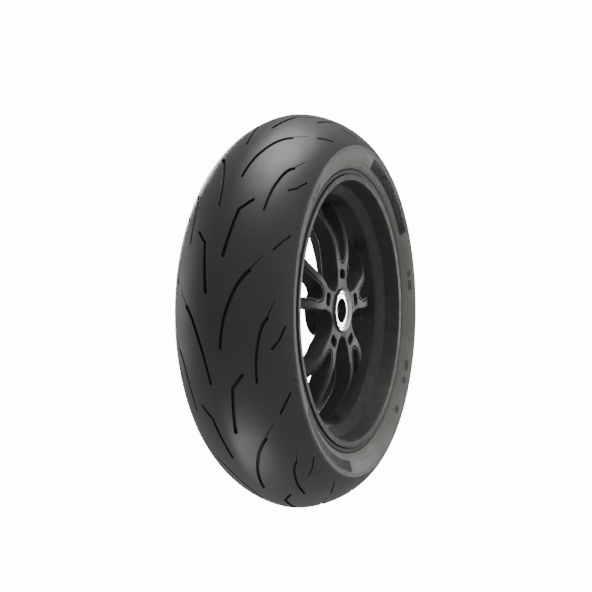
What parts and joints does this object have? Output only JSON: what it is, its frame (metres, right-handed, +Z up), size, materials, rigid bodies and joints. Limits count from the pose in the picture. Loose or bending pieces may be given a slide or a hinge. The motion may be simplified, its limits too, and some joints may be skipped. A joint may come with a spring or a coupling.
{
  "type": "motorcycle wheel with tyre",
  "caption": "Rear road wheel: wide radial tyre with a sipe-tailed slash tread on a dished cast wheel with forked spokes, turning on ball bearings in its hub.",
  "frame": {"origin": "centre of the wheel, on the axle line in the middle of the tyre's width", "axes": "+Y along the axle towards the motorcycle's left, away from the dished side; +X forwards; +Z up"},
  "size_m": [0.652, 0.1924, 0.652],
  "materials": {
    "tread_rubber": "satin black rubber, finely textured",
    "sidewall_rubber": "matte dark grey rubber",
    "inner_rubber": "matte",
    "steel_cord": "brass-plated cord in rubber",
    "ply_cord": "cord in rubber",
    "wheel_paint": "satin dark grey powder coat on cast alloy",
    "bearing_steel": "ground",
    "cage_steel": "pressed",
    "spring_steel": "blackened",
    "seal_rubber": "moulded",
    "brass": "turned",
    "nickel": "nickel plate",
    "cap_plastic": "moulded"
  },
  "bodies": {
    "axle_sleeve": {"bearing_spacer": "bearing_steel", "bearing_inner_race_right": "bearing_steel", "bearing_inner_race_left": "bearing_steel"},
    "wheel": {"tread": "tread_rubber", "steel_belt": "steel_cord", "carcass_ply": "ply_cord", "inner_liner": "inner_rubber", "sidewall_right": "sidewall_rubber", "sidewall_left": "sidewall_rubber", "rim_strip_right": "inner_rubber", "rim_strip_left": "inner_rubber", "bead_core_right": "steel_cord", "bead_core_left": "steel_cord", "bead_filler_right": "inner_rubber", "bead_filler_left": "inner_rubber", "cast_wheel": "wheel_paint", "retaining_ring": "spring_steel", "bearing_outer_race_right": "bearing_steel", "bearing_outer_race_left": "bearing_steel", "bearing_shield_right": "bearing_steel", "bearing_shield_left": "bearing_steel", "valve_stem": "nickel", "valve_grommet": "seal_rubber", "valve_washer": "nickel", "valve_nut": "nickel", "valve_core_body": "brass"},
    "ball_set_right": {"bearing_cage_right": "cage_steel", "bearing_ball_right_01": "bearing_steel", "bearing_ball_right_02": "bearing_steel", "bearing_ball_right_03": "bearing_steel", "bearing_ball_right_04": "bearing_steel", "bearing_ball_right_05": "bearing_steel", "bearing_ball_right_06": "bearing_steel", "bearing_ball_right_07": "bearing_steel", "bearing_ball_right_08": "bearing_steel", "bearing_ball_right_09": "bearing_steel", "bearing_ball_right_10": "bearing_steel", "bearing_ball_right_11": "bearing_steel", "bearing_ball_right_12": "bearing_steel"},
    "ball_set_left": {"bearing_cage_left": "cage_steel", "bearing_ball_left_01": "bearing_steel", "bearing_ball_left_02": "bearing_steel", "bearing_ball_left_03": "bearing_steel", "bearing_ball_left_04": "bearing_steel", "bearing_ball_left_05": "bearing_steel", "bearing_ball_left_06": "bearing_steel", "bearing_ball_left_07": "bearing_steel", "bearing_ball_left_08": "bearing_steel", "bearing_ball_left_09": "bearing_steel", "bearing_ball_left_10": "bearing_steel", "bearing_ball_left_11": "bearing_steel", "bearing_ball_left_12": "bearing_steel"},
    "valve_pin": {"valve_core_pin": "brass"},
    "cap_seal": {"valve_cap_seal": "seal_rubber"},
    "cap": {"valve_cap": "cap_plastic"}
  },
  "joints": [
    {"name": "wheel_spin", "type": "hinge", "parent": "axle_sleeve", "child": "wheel", "pos_m": [0, 0, 0], "axis": [0, 1, 0], "continuous": true},
    {"name": "ball_set_right_spin", "type": "hinge", "parent": "axle_sleeve", "child": "ball_set_right", "pos_m": [0, 0, 0], "axis": [0, 1, 0], "continuous": true},
    {"name": "ball_set_left_spin", "type": "hinge", "parent": "axle_sleeve", "child": "ball_set_left", "pos_m": [0, 0, 0], "axis": [0, 1, 0], "continuous": true},
    {"name": "valve_pin_slide", "type": "slide", "parent": "wheel", "child": "valve_pin", "axis": [0, 0, -1], "range_m": [0, 0.001], "stiffness_N_per_m": 400, "springref_m": -0.002},
    {"name": "valve_cap_lift", "type": "slide", "parent": "wheel", "child": "cap_seal", "axis": [0, 0, 1], "range_m": [0, 0.008]},
    {"name": "valve_cap_turn", "type": "hinge", "parent": "cap_seal", "child": "cap", "pos_m": [0, 0, -0.1724], "axis": [0, 0, 1], "range_deg": [0, 3600]}
  ],
  "couplings": [
    {"joint": "ball_set_right_spin", "follows": "wheel_spin", "ratio": 0.5735},
    {"joint": "ball_set_left_spin", "follows": "wheel_spin", "ratio": 0.5735},
    {"joint": "valve_cap_lift", "follows": "valve_cap_turn", "m_per_rad": 0.00012637}
  ]
}
